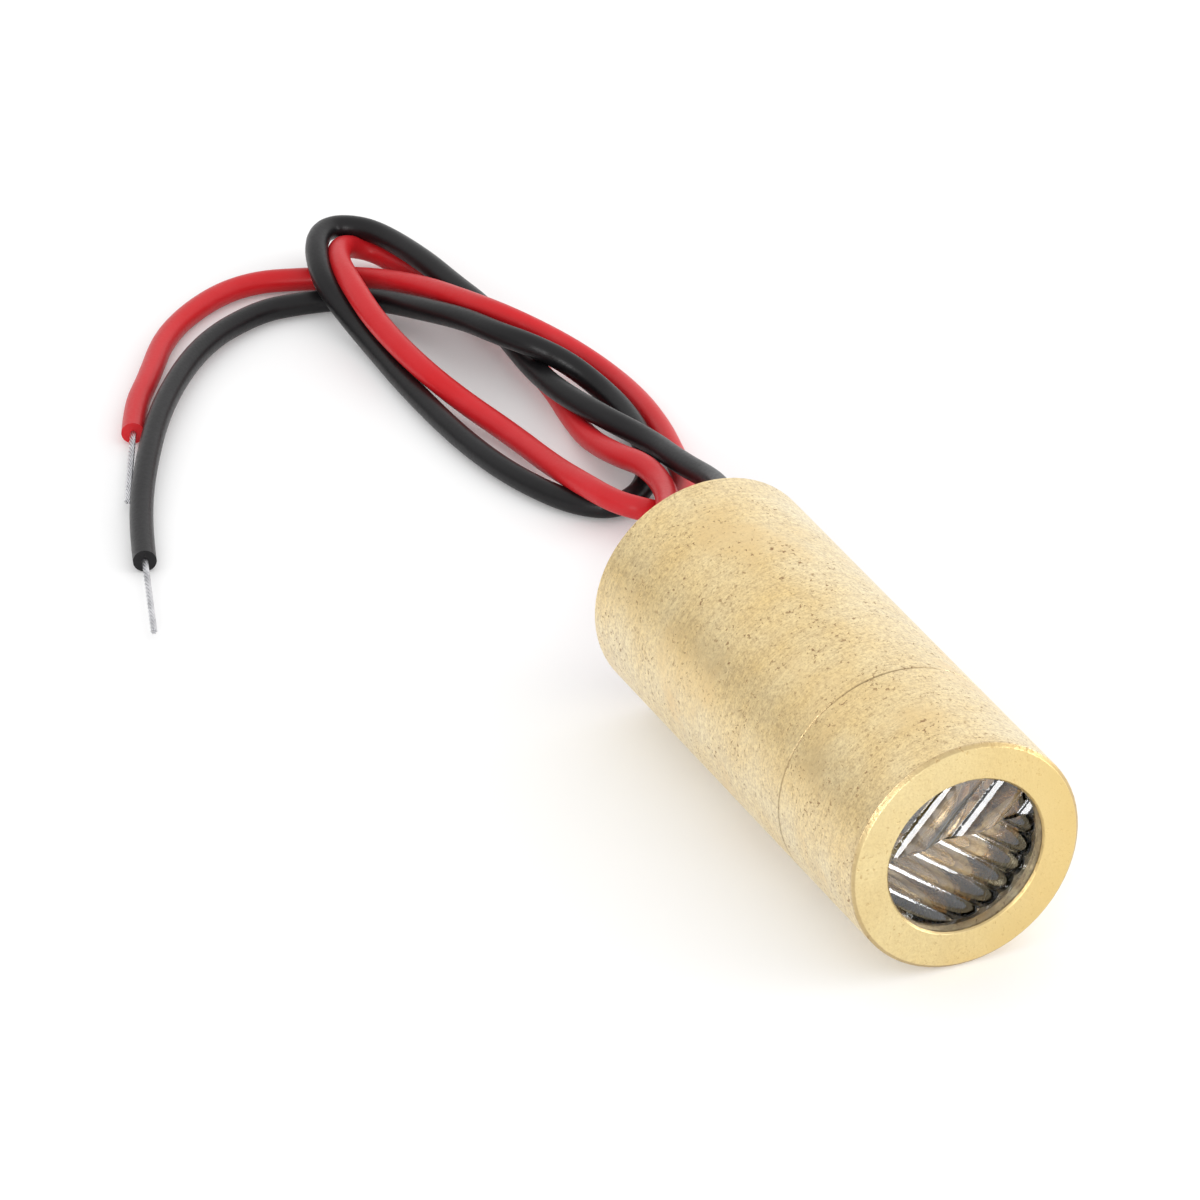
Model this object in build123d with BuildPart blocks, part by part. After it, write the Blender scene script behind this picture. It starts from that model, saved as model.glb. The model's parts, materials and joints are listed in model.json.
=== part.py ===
from build123d import *
from math import ceil, pi, radians, tan
import os

# Laser diode module: a turned brass housing with a cross-line lens in front and two leads behind.
# Millimetres. The origin is the centre of the front face, +X runs along the beam and +Z is up.
# The housing lies on its side, so the surface under it is one housing radius below the axis.

# Housing
housing_radius = 4.5
cap_length = 5.8
cap_wall = 0.9
lip_thickness = 0.55
lip_width = 0.55
nose_wall = 0.58
web_thickness = 1.0
rear_wall = 1.2
front_edge_break = 0.15
aperture_edge_break = 0.08
seam_edge_break = 0.05
rear_edge_break = 0.2
slip_gap = 0.02
overrun = 1.0

# Cross-line lens and its spacer
lens_gap = 0.05
lens_thickness = 2.0
lens_rim_width = 0.45
rib_recess = 0.03
upper_rib_pitch = 1.75
upper_rib_width = 1.4
upper_rib_height = 0.35
upper_rib_offset = 1.4
lower_rib_pitch = 0.79
lower_rib_width = 0.75
lower_rib_height = 0.12
lower_rib_offset = 0.34
split_offset = 0.38
split_tilt = 5.0
rib_turn = 43.0
spacer_length = 1.1
spacer_wall = 0.55

# Collimator
holder_inset = 0.95
holder_length = 4.0
holder_wall = 0.86
holder_mouth_wall = 0.88
holder_seat_width = 0.6
holder_land_length = 0.8
slot_width = 0.8
slot_depth = 0.7
collimator_flange_thickness = 0.9
collimator_front_gap = 0.1
collimator_front_bulge = 0.5
collimator_back_rim_width = 0.35
collimator_back_bulge = 0.3
spring_length = 1.8
spring_wire_radius = 0.2
spring_turns = 3.0

# Laser diode
stem_radius = 2.8
stem_thickness = 1.2
stem_notch = 0.35
post_width = 1.0
post_length = 1.5
post_height = 0.95
can_radius = 1.78
can_length = 2.2
can_wall = 0.15
can_flange_radius = 2.2
can_flange_thickness = 0.25
can_flange_gap = 0.1
can_hole_radius = 0.8
window_radius = 1.3
window_thickness = 0.25
pin_radius = 0.225
pin_circle_radius = 1.0
pin_inner_length = 0.9
pin_landing = 1.8
pin_seal_radius = 0.45
submount_length = 0.9
submount_width = 0.8
submount_height = 0.25
submount_setback = 0.1
chip_length = 0.3
chip_width = 0.25
chip_height = 0.1
monitor_size = 0.8
monitor_thickness = 0.2
monitor_gap = 0.05
clamp_ring_length = 0.8
clamp_ring_wall = 1.18

# Driver board and its parts
board_gap = 0.8
board_length = 5.4
board_side_gap = 0.7
transistor_setback = 0.4
transistor_length = 1.3
transistor_width = 2.9
transistor_height = 1.0
transistor_lift = 0.08
leg_width = 0.4
leg_thickness = 0.14
leg_knee = 0.15
leg_reach = 0.5
leg_pitch = 0.95
chip_part_length = 1.6
chip_part_width = 0.8
chip_part_height = 0.45
chip_part_gap = 0.1
chip_end_length = 0.3
chip_end_step = 0.03
capacitor_inset = 0.5
solder_length = 1.2
solder_width = 1.0
solder_cover = 0.12
solder_taper = 18.0
lead_solder_length = 1.0
lead_solder_width = 0.7

# Back of the housing and the leads
seal_gap = 0.4
seal_thickness = 0.8
seal_recess = 0.2
lead_radius = 0.45
conductor_radius = 0.125
stub_length = 1.4
tip_length = 5.2
fold_share = 0.45

# Routes of the two leads, from inside the seal to the bared end. They fall from the housing to the
# surface under it, double back in a folded loop, and end side by side on the surface.
black_route = [
    (-19.8, 0.9, -0.1), (-22.4, 0.9, -0.1), (-24.8, 1.3, -0.2), (-26.9, 2.5, -0.5),
    (-28.7, 4.0, -0.9), (-30.7, 4.9, -1.3), (-33.2, 4.8, -1.8), (-36.2, 5.0, -2.7),
    (-38.7, 4.3, -2.9), (-41.1, 3.8, -3.0), (-43.3, 3.8, -3.2), (-45.3, 3.9, -3.2),
    (-48.4, 4.1, -3.1), (-50.7, 3.8, -3.1), (-52.7, 3.6, -3.0), (-55.2, 3.3, -3.0),
    (-56.6, 2.8, -2.9), (-57.3, 1.6, -2.9), (-56.6, 0.5, -2.8), (-55.0, -0.3, -2.8),
    (-53.0, -0.8, -3.0), (-51.6, -0.6, -3.5), (-49.6, -0.4, -3.9), (-45.5, -0.5, -4.0),
    (-41.4, -0.4, -4.0), (-38.4, 0.0, -4.0), (-36.1, 0.7, -4.0), (-34.6, 1.5, -4.0),
    (-33.8, 2.6, -4.0), (-34.4, 4.0, -4.0), (-36.1, 5.2, -4.0), (-38.0, 5.7, -3.8),
    (-40.2, 6.0, -3.7), (-42.0, 5.9, -3.5), (-43.2, 5.1, -2.8), (-43.7, 3.8, -2.1),
    (-44.9, 2.9, -2.1), (-46.9, 2.5, -2.4), (-49.6, 1.8, -3.1), (-51.8, 1.2, -3.7),
    (-53.0, 0.2, -4.0), (-53.4, -1.5, -4.0), (-53.5, -3.3, -4.0), (-52.1, -6.3, -4.0),
    (-48.4, -9.6, -4.0), (-44.0, -12.3, -4.0), (-40.4, -14.0, -4.0), (-37.7, -15.1, -4.0),
]
red_route = [
    (-19.8, -0.9, -0.1), (-22.4, -0.9, -0.1), (-25.0, -0.3, -0.6), (-27.8, 1.5, -1.5),
    (-30.4, 3.4, -2.4), (-32.8, 4.4, -2.9), (-34.5, 4.3, -3.0), (-36.1, 3.8, -3.2),
    (-38.6, 3.8, -3.8), (-40.8, 4.1, -4.0), (-42.7, 4.4, -4.0), (-45.8, 4.6, -4.0),
    (-49.0, 4.6, -4.0), (-50.9, 4.3, -4.0), (-53.3, 3.8, -4.0), (-55.1, 3.2, -4.0),
    (-56.0, 2.7, -3.8), (-56.2, 1.9, -3.5), (-55.6, 1.1, -3.1), (-54.1, 0.4, -2.9),
    (-52.0, 0.1, -2.8), (-49.4, 0.0, -3.0), (-46.1, 0.2, -3.2), (-43.5, 0.8, -3.6),
    (-40.4, 1.4, -3.9), (-37.2, 1.7, -3.6), (-34.6, 1.6, -3.0), (-32.7, 2.0, -2.9),
    (-31.8, 2.9, -3.2), (-32.1, 4.0, -3.8), (-33.4, 5.3, -4.0), (-34.9, 6.1, -4.0),
    (-36.6, 6.5, -4.0), (-38.6, 6.8, -4.0), (-41.0, 7.0, -4.0), (-43.4, 6.8, -4.0),
    (-44.7, 5.9, -3.4), (-45.1, 4.5, -2.4), (-46.3, 3.6, -2.1), (-48.2, 3.1, -2.4),
    (-51.2, 2.6, -3.1), (-54.2, 1.6, -4.0), (-55.3, -0.4, -4.0), (-56.0, -2.4, -4.0),
    (-55.5, -4.6, -4.0), (-53.6, -7.3, -4.0), (-50.4, -9.6, -4.0), (-48.8, -10.8, -4.0),
    (-46.9, -11.8, -4.0),
]

# Radii worked out from the sizes above
cap_bore_radius = housing_radius - cap_wall
aperture_radius = cap_bore_radius - lip_width
nose_radius = cap_bore_radius - slip_gap
thread_radius = nose_radius - nose_wall
rear_bore_radius = housing_radius - rear_wall
web_bore_radius = can_flange_radius + can_flange_gap
lens_radius = cap_bore_radius - lens_gap
lens_recess_radius = lens_radius - lens_rim_width
holder_radius = thread_radius - slip_gap
holder_mouth_radius = holder_radius - holder_mouth_wall
collimator_radius = holder_radius - holder_wall - slip_gap
holder_aperture_radius = collimator_radius - holder_seat_width
collimator_front_radius = holder_aperture_radius - collimator_front_gap
collimator_back_radius = collimator_radius - collimator_back_rim_width
board_width = 2 * (rear_bore_radius - board_side_gap)

# Places along the axis, from the front face to the back
cap_back = -cap_length
lens_front = -lip_thickness
lens_back = lens_front - lens_thickness
rib_root = lens_front - rib_recess - upper_rib_height
nose_front = lens_back - spacer_length
holder_front = nose_front - holder_inset
holder_back = holder_front - holder_length
slot_floor = holder_front - slot_depth
collimator_seat = slot_floor - holder_land_length
collimator_back = collimator_seat - collimator_flange_thickness
web_front = holder_back - spring_length
stem_front = web_front - web_thickness
stem_back = stem_front - stem_thickness
can_front = stem_front + can_length
ring_back = stem_back - clamp_ring_length
board_front = ring_back - board_gap
board_back = board_front - board_length
pin_end = board_front - pin_landing
seal_front = board_back - seal_gap
seal_back = seal_front - seal_thickness
barrel_back = seal_back - seal_recess

# The laser chip lights from the axis, so what carries it is stacked downwards from there
submount_top = -chip_height
post_top = submount_top - submount_height
submount_front = stem_front + post_length - submount_setback

# The board lies between the pins, and the bared ends of the leads rest on it
lead_exits = [black_route[0], red_route[0]]
stub_bottom = min(exit_point[2] for exit_point in lead_exits) - conductor_radius
board_top = min(-pin_radius, stub_bottom)
board_bottom = pin_radius - pin_circle_radius

insulated_pins = [(-pin_circle_radius, 0), (pin_circle_radius, 0)]
common_pin = (0, -pin_circle_radius)


# Front cap: a cup whose thin lip holds the lens, slid over the nose of the barrel
with BuildPart() as front_cap:
    with BuildSketch():
        with BuildLine():
            Polyline(
                (0, aperture_radius + aperture_edge_break),
                (0, housing_radius - front_edge_break),
                (-front_edge_break, housing_radius),
                (cap_back + seam_edge_break, housing_radius),
                (cap_back, housing_radius - seam_edge_break),
                (cap_back, cap_bore_radius),
                (lens_front, cap_bore_radius),
                (lens_front, aperture_radius),
                (-aperture_edge_break, aperture_radius),
                close=True,
            )
        make_face()
    revolve(axis=Axis.X)


def rib_field(turn, pitch, width, height, rib_offset, keep):
    """Ribs of one field of the lens: rounded bars at one turn, cut to one side of the split."""
    along = Vector(0, 1, 0).rotate(Axis.X, split_tilt + turn)
    across = Vector(0, 0, 1).rotate(Axis.X, split_tilt + turn)
    upward = Vector(0, 0, 1).rotate(Axis.X, split_tilt)
    end_plane = Plane(origin=(rib_root, 0, 0), x_dir=across, z_dir=along)
    split_plane = Plane(origin=(rib_root, 0, 0), x_dir=upward, z_dir=(1, 0, 0))
    ribs_each_way = ceil((lens_recess_radius + abs(rib_offset)) / pitch)
    with BuildPart() as ribs:
        with BuildSketch(end_plane):
            for rib in range(-ribs_each_way, ribs_each_way + 1):
                middle = rib_offset + rib * pitch
                left, right = middle - width / 2, middle + width / 2
                with BuildLine():
                    ThreePointArc((left, 0), (middle, height), (right, 0))
                    Line((right, 0), (left, 0))
                make_face()
        extrude(amount=lens_radius, both=True)
        with BuildSketch(split_plane):
            Circle(lens_recess_radius)
            with Locations((split_offset, 0)):
                Rectangle(2 * lens_radius, 2 * lens_radius, align=(keep, Align.CENTER), mode=Mode.INTERSECT)
        extrude(amount=height, mode=Mode.INTERSECT)
    return ribs


# Cross-line lens: a clear moulded disc with a raised rim, whose front carries two fields of ribs.
# They meet at a split above the centre, and each field is turned as far from it as the other.
upper_ribs = rib_field(
    rib_turn, upper_rib_pitch, upper_rib_width, upper_rib_height, upper_rib_offset, Align.MIN
)
lower_ribs = rib_field(
    -rib_turn, lower_rib_pitch, lower_rib_width, lower_rib_height, lower_rib_offset, Align.MAX
)
with BuildPart() as cross_line_lens:
    with BuildSketch():
        with BuildLine():
            Polyline(
                (rib_root, 0),
                (rib_root, lens_recess_radius),
                (lens_front, lens_recess_radius),
                (lens_front, lens_radius),
                (lens_back, lens_radius),
                (lens_back, 0),
                close=True,
            )
        make_face()
    revolve(axis=Axis.X)
    add(upper_ribs.part)
    add(lower_ribs.part)

# Spacer ring: keeps the lens against the lip
with BuildPart() as lens_spacer_ring:
    with BuildSketch(Plane.YZ.offset(nose_front)):
        Circle(lens_radius)
        Circle(lens_radius - spacer_wall, mode=Mode.SUBTRACT)
    extrude(amount=spacer_length)

# Barrel: nose for the cap, thread bore for the holder, web, pocket for the diode, rear bore
with BuildPart() as barrel:
    with BuildSketch():
        with BuildLine():
            Polyline(
                (nose_front, thread_radius),
                (nose_front, nose_radius),
                (cap_back, nose_radius),
                (cap_back, housing_radius - seam_edge_break),
                (cap_back - seam_edge_break, housing_radius),
                (barrel_back + rear_edge_break, housing_radius),
                (barrel_back, housing_radius - rear_edge_break),
                (barrel_back, rear_bore_radius + rear_edge_break),
                (barrel_back + rear_edge_break, rear_bore_radius),
                (stem_back, rear_bore_radius),
                (stem_back, stem_radius + slip_gap),
                (stem_front, stem_radius + slip_gap),
                (stem_front, web_bore_radius),
                (web_front, web_bore_radius),
                (web_front, thread_radius),
                close=True,
            )
        make_face()
    revolve(axis=Axis.X)

# Collimator holder: brass plug with a flared mouth, two spanner slots and a seat for its lens
with BuildPart() as collimator_holder:
    with BuildSketch():
        with BuildLine():
            Polyline(
                (holder_front, holder_mouth_radius),
                (holder_front, holder_radius - seam_edge_break),
                (holder_front - seam_edge_break, holder_radius),
                (holder_back + seam_edge_break, holder_radius),
                (holder_back, holder_radius - seam_edge_break),
                (holder_back, collimator_radius + slip_gap),
                (collimator_seat, collimator_radius + slip_gap),
                (collimator_seat, holder_aperture_radius),
                (slot_floor, holder_aperture_radius),
                close=True,
            )
        make_face()
    revolve(axis=Axis.X)
    with BuildSketch(Plane.YZ.offset(slot_floor)):
        Rectangle(2 * housing_radius, slot_width)
    extrude(amount=slot_depth + overrun, mode=Mode.SUBTRACT)

# Collimating lens: a flange with a small dome in front and a flatter one behind
front_apex = (collimator_seat + collimator_front_bulge, 0)
back_apex = (collimator_back - collimator_back_bulge, 0)
with BuildPart() as collimating_lens:
    with BuildSketch():
        with BuildLine():
            TangentArc(front_apex, (collimator_seat, collimator_front_radius), tangent=(0, 1))
            Polyline(
                (collimator_seat, collimator_front_radius),
                (collimator_seat, collimator_radius),
                (collimator_back, collimator_radius),
                (collimator_back, collimator_back_radius),
            )
            TangentArc(back_apex, (collimator_back, collimator_back_radius), tangent=(0, 1))
            Line(back_apex, front_apex)
        make_face()
    revolve(axis=Axis.X)

# Focus spring: pushes the holder away from the web and takes up the play of its thread. It runs
# midway between the diode's can and the thread bore, and its wire is six-sided to keep it light.
spring_radius = (thread_radius + can_radius) / 2
coil_height = spring_length - 2 * spring_wire_radius - 2 * slip_gap
with BuildPart() as focus_spring:
    with BuildLine() as coil:
        Helix(
            pitch=coil_height / spring_turns,
            height=coil_height,
            radius=spring_radius,
            center=(web_front + spring_wire_radius + slip_gap, 0, 0),
            direction=(1, 0, 0),
        )
    with BuildSketch(Plane(origin=coil.line @ 0, z_dir=coil.line % 0)):
        RegularPolygon(radius=spring_wire_radius, side_count=6)
    sweep(path=coil.line, is_frenet=True)

# Diode stem: a round header with rim notches, two holes for the insulated pins and a post
with BuildPart() as diode_stem:
    with BuildSketch(Plane.YZ.offset(stem_back)):
        Circle(stem_radius)
        with PolarLocations(stem_radius, 2):
            Rectangle(stem_notch, stem_notch, rotation=45, mode=Mode.SUBTRACT)
        with Locations((0, -stem_radius)):
            Rectangle(stem_notch, stem_notch, mode=Mode.SUBTRACT)
        with Locations(*insulated_pins):
            Circle(pin_seal_radius, mode=Mode.SUBTRACT)
    extrude(amount=stem_thickness)
    with BuildSketch(Plane.YZ.offset(stem_front)):
        with Locations((0, post_top)):
            Rectangle(post_width, post_height, align=(Align.CENTER, Align.MAX))
    extrude(amount=post_length)

# Diode can: a thin drawn cap with a weld flange and a round hole for the beam
can_inner_radius = can_radius - can_wall
with BuildPart() as diode_can:
    with BuildSketch():
        with BuildLine():
            Polyline(
                (stem_front, can_inner_radius),
                (stem_front, can_flange_radius),
                (stem_front + can_flange_thickness, can_flange_radius),
                (stem_front + can_flange_thickness, can_radius),
                (can_front, can_radius),
                (can_front, can_hole_radius),
                (can_front - can_wall, can_hole_radius),
                (can_front - can_wall, can_inner_radius),
                close=True,
            )
        make_face()
    revolve(axis=Axis.X)

# Diode window: a glass disc sealed under the hole of the can
with BuildPart() as diode_window:
    with BuildSketch(Plane.YZ.offset(can_front - can_wall)):
        Circle(window_radius)
    extrude(amount=-window_thickness)

# Diode pins: two pass through the stem, and the common one is welded to its back
with BuildPart() as diode_pins:
    with BuildSketch(Plane.YZ.offset(pin_end)):
        with Locations(*insulated_pins):
            Circle(pin_radius)
    extrude(amount=stem_front + pin_inner_length - pin_end)
    with BuildSketch(Plane.YZ.offset(pin_end)):
        with Locations(common_pin):
            Circle(pin_radius)
    extrude(amount=stem_back - pin_end)

# Pin seals: glass beads round the insulated pins
with BuildPart() as pin_glass_seals:
    with BuildSketch(Plane.YZ.offset(stem_back)):
        with Locations(*insulated_pins):
            Circle(pin_seal_radius - slip_gap)
            Circle(pin_radius + slip_gap, mode=Mode.SUBTRACT)
    extrude(amount=stem_thickness)

# Laser submount: a ceramic block on the post
with BuildPart() as laser_submount:
    with BuildSketch(Plane.YZ.offset(submount_front)):
        with Locations((0, post_top)):
            Rectangle(submount_width, submount_height, align=(Align.CENTER, Align.MIN))
    extrude(amount=-submount_length)

# Laser chip: a small bar at the front edge of the submount
with BuildPart() as laser_chip:
    with BuildSketch(Plane.YZ.offset(submount_front)):
        with Locations((0, submount_top)):
            Rectangle(chip_width, chip_height, align=(Align.CENTER, Align.MIN))
    extrude(amount=-chip_length)

# Monitor photodiode: lies on the stem behind the laser chip
with BuildPart() as monitor_photodiode:
    with BuildSketch(Plane.YZ.offset(stem_front)):
        with Locations((0, post_top + monitor_gap)):
            Rectangle(monitor_size, monitor_size, align=(Align.CENTER, Align.MIN))
    extrude(amount=monitor_thickness)

# Clamp ring: holds the diode in its pocket
with BuildPart() as diode_clamp_ring:
    with BuildSketch(Plane.YZ.offset(ring_back)):
        Circle(rear_bore_radius - slip_gap)
        Circle(rear_bore_radius - clamp_ring_wall, mode=Mode.SUBTRACT)
    extrude(amount=clamp_ring_length)

# Driver board: lies between the insulated pins above and the common pin below
with BuildPart() as driver_board:
    with BuildSketch(Plane.XY.offset(board_bottom)):
        with Locations((board_front, 0)):
            Rectangle(board_length, board_width, align=(Align.MAX, Align.CENTER))
    extrude(amount=board_top - board_bottom)

# Driver transistor: a small moulded body above the board
transistor_front = pin_end - transistor_setback
transistor_back = transistor_front - transistor_length
with BuildPart() as driver_transistor:
    with BuildSketch(Plane.XY.offset(board_top + transistor_lift)):
        with Locations((transistor_front, 0)):
            Rectangle(transistor_length, transistor_width, align=(Align.MAX, Align.CENTER))
    extrude(amount=transistor_height)


def leg_outline(body_side, outward):
    """Side view of one bent leg, from the body out, down and along the board."""
    leg_top = board_top + transistor_lift + transistor_height / 2
    knee_inside = body_side + outward * leg_knee
    knee_outside = knee_inside + outward * leg_thickness
    toe = body_side + outward * leg_reach
    Polyline(
        (body_side, leg_top),
        (knee_outside, leg_top),
        (knee_outside, board_top + leg_thickness),
        (toe, board_top + leg_thickness),
        (toe, board_top),
        (knee_inside, board_top),
        (knee_inside, leg_top - leg_thickness),
        (body_side, leg_top - leg_thickness),
        close=True,
    )


# Transistor legs: one in front, two behind
with BuildPart() as transistor_legs:
    with BuildSketch(Plane.XZ):
        with BuildLine():
            leg_outline(transistor_front, 1)
        make_face()
    extrude(amount=leg_width / 2, both=True)
    for side in (-1, 1):
        with BuildSketch(Plane.XZ.offset(side * leg_pitch)):
            with BuildLine():
                leg_outline(transistor_back, -1)
            make_face()
        extrude(amount=leg_width / 2, both=True)

# Chip parts: two resistors in line with the board and a capacitor across it, all underneath
capacitor_middle = board_back + capacitor_inset + chip_part_width / 2
resistor_middle = capacitor_middle + chip_part_width / 2 + chip_part_gap + chip_part_length / 2
resistor_spread = chip_part_length / 2 + chip_part_gap + chip_part_width / 2
resistor_places = [(resistor_middle, -resistor_spread), (resistor_middle, resistor_spread)]
chip_body_length = chip_part_length - 2 * chip_end_length
chip_body_height = chip_part_height - chip_end_step
chip_end_spread = (chip_part_length - chip_end_length) / 2

with BuildPart() as resistors:
    with BuildSketch(Plane.XY.offset(board_bottom)):
        with Locations(*resistor_places):
            Rectangle(chip_body_length, chip_part_width)
    extrude(amount=-chip_body_height)

with BuildPart() as capacitor:
    with BuildSketch(Plane.XY.offset(board_bottom)):
        with Locations((capacitor_middle, 0)):
            Rectangle(chip_part_width, chip_body_length)
    extrude(amount=-chip_body_height)

with BuildPart() as chip_end_caps:
    with BuildSketch(Plane.XY.offset(board_bottom)):
        for side in (-1, 1):
            for middle, spread in resistor_places:
                with Locations((middle + side * chip_end_spread, spread)):
                    Rectangle(chip_end_length, chip_part_width)
            with Locations((capacitor_middle, side * chip_end_spread)):
                Rectangle(chip_part_width, chip_end_length)
    extrude(amount=-chip_part_height)

# Pin solder: a bead over each pin, two on the top of the board and one underneath
pin_bead_middle = (board_front + pin_end) / 2
with BuildPart() as pin_solder:
    with BuildSketch(Plane.XY.offset(board_top)):
        with Locations(*[(pin_bead_middle, pin_y) for pin_y, _ in insulated_pins]):
            SlotOverall(solder_length, solder_width)
    extrude(amount=pin_radius - board_top + solder_cover, taper=solder_taper)
    with BuildSketch(Plane(origin=(pin_bead_middle, 0, board_bottom), x_dir=(1, 0, 0), z_dir=(0, 0, -1))):
        SlotOverall(solder_length, solder_width)
    extrude(amount=2 * pin_radius + solder_cover, taper=solder_taper)
    with BuildSketch(Plane.YZ.offset(pin_end)):
        with Locations(*insulated_pins, common_pin):
            Circle(pin_radius + slip_gap)
    extrude(amount=board_front - pin_end, mode=Mode.SUBTRACT)

# Lead ends: bared conductors that run from the insulation onto the board
lead_start = black_route[0][0]
exit_places = [(exit_y, exit_z) for _, exit_y, exit_z in lead_exits]
with BuildPart() as lead_inner_ends:
    with BuildSketch(Plane.YZ.offset(lead_start)):
        with Locations(*exit_places):
            Circle(conductor_radius)
    extrude(amount=stub_length)

# Lead solder: a bead over each bared conductor
lead_bead_middle = lead_start + stub_length - lead_solder_length / 2
with BuildPart() as lead_solder:
    with BuildSketch(Plane.XY.offset(board_top)):
        with Locations(*[(lead_bead_middle, exit_y) for exit_y, _ in exit_places]):
            SlotOverall(lead_solder_length, lead_solder_width)
    extrude(amount=2 * conductor_radius + solder_cover, taper=solder_taper)
    with BuildSketch(Plane.YZ.offset(lead_start)):
        with Locations(*exit_places):
            Circle(conductor_radius + slip_gap)
    extrude(amount=stub_length + overrun, mode=Mode.SUBTRACT)

# Rear seal: potting resin across the back, with a hole for each lead
with BuildPart() as rear_seal:
    with BuildSketch(Plane.YZ.offset(seal_back)):
        Circle(rear_bore_radius - slip_gap)
        with Locations(*exit_places):
            Circle(lead_radius + slip_gap, mode=Mode.SUBTRACT)
    extrude(amount=seal_thickness)


def fold_radii(route):
    """Radius of each bend of a route, as large as the two runs beside it allow."""
    points = [Vector(*point) for point in route]
    runs = [end - start for start, end in zip(points, points[1:])]
    return [
        fold_share * min(run.length, following.length) / tan(radians(run.get_angle(following)) / 2)
        for run, following in zip(runs, runs[1:])
    ]


def lead_tube(route):
    """The insulation of a lead: a round section carried along straight runs and tangent arcs."""
    with BuildPart() as tube:
        with BuildLine() as path:
            FilletPolyline(*route, radius=fold_radii(route))
        centreline = path.wire()
        with BuildSketch(Plane(origin=centreline @ 0, z_dir=centreline % 0)):
            Circle(lead_radius)
        sweep(path=centreline)
    return tube, centreline.length


def bared_tip(route):
    """The bared conductor that stands out of the end of a lead."""
    with BuildPart() as tip:
        with BuildSketch(Plane(origin=route[-1], z_dir=Vector(*route[-1]) - Vector(*route[-2]))):
            Circle(conductor_radius)
        extrude(amount=tip_length)
    return tip


# Leads and their bared tips
red_lead, red_length = lead_tube(red_route)
black_lead, black_length = lead_tube(black_route)
red_lead_tip = bared_tip(red_route)
black_lead_tip = bared_tip(black_route)

pieces = {
    "front_cap": front_cap,
    "cross_line_lens": cross_line_lens,
    "lens_spacer_ring": lens_spacer_ring,
    "barrel": barrel,
    "collimator_holder": collimator_holder,
    "collimating_lens": collimating_lens,
    "focus_spring": focus_spring,
    "diode_stem": diode_stem,
    "diode_can": diode_can,
    "diode_window": diode_window,
    "diode_pins": diode_pins,
    "pin_glass_seals": pin_glass_seals,
    "laser_submount": laser_submount,
    "laser_chip": laser_chip,
    "monitor_photodiode": monitor_photodiode,
    "diode_clamp_ring": diode_clamp_ring,
    "driver_board": driver_board,
    "driver_transistor": driver_transistor,
    "transistor_legs": transistor_legs,
    "resistors": resistors,
    "capacitor": capacitor,
    "chip_end_caps": chip_end_caps,
    "pin_solder": pin_solder,
    "lead_solder": lead_solder,
    "lead_inner_ends": lead_inner_ends,
    "rear_seal": rear_seal,
    "red_lead": red_lead,
    "black_lead": black_lead,
    "red_lead_tip": red_lead_tip,
    "black_lead_tip": black_lead_tip,
}

os.makedirs("parts", exist_ok=True)
for name, piece in pieces.items():
    piece.part.label = name
    export_step(piece.part, f"parts/{name}.step")

# Each lead's length and bends, and its volume against its section times its length
lead_section = pi * lead_radius**2
for name, route, tube, length in (
    ("red lead", red_route, red_lead, red_length),
    ("black lead", black_route, black_lead, black_length),
):
    bends = ", ".join(f"{radius:.2f}" for radius in fold_radii(route))
    print(f"{name}: length {length:.1f} mm, volume share {tube.part.volume / (lead_section * length):.4f}")
    print(f"{name} bends: {bends}")
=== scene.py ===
import json

import bpy
import numpy as np
from mathutils import Matrix, Vector


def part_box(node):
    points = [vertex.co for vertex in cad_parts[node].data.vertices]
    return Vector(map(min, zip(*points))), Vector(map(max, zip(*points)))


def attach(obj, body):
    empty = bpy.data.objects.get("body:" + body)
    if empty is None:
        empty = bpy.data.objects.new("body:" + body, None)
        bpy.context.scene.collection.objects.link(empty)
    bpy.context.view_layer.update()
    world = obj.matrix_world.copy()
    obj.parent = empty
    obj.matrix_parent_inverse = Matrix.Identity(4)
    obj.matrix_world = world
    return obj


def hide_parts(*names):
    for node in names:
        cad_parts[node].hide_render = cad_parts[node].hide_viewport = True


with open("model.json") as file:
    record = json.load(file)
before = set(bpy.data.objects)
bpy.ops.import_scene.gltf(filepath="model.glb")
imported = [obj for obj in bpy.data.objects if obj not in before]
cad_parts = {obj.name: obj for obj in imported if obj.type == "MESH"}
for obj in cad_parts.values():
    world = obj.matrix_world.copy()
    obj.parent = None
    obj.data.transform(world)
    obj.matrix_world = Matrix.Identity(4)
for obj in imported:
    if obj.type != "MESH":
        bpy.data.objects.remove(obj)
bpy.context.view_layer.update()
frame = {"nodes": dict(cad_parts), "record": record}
nodes = frame["nodes"]

MM = 0.001

# The table that the module lies on, under the lowest side of the housing
floor_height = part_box("barrel")[0].z

# Where the look of the housing changes along its axis: at the front face, and in the painted shade
# over the bevel round it and in the seam behind the cap. A mark is full in its core and fades out
# to its reach
cap_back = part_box("front_cap")[0].x
face_from, face_to = -0.14 * MM, -0.1 * MM
bevel_depth, bevel_core, bevel_reach = 0.1 * MM, 0.06 * MM, 0.09 * MM
seam_core, seam_reach = 0.02 * MM, 0.07 * MM

# Distance between the rings that the tool left on the brass inside
ring_pitch = 0.11 * MM

# Leads: their sizes, and then the listed points of their routes in millimetres
lead_diameter = 0.9 * MM
conductor_diameter = 0.25 * MM
tip_length = 5.2 * MM
strand_count, strands_across = 6, 3
strand_turns = 3.0
strand_steps, strand_sides = 120, 8

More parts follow.
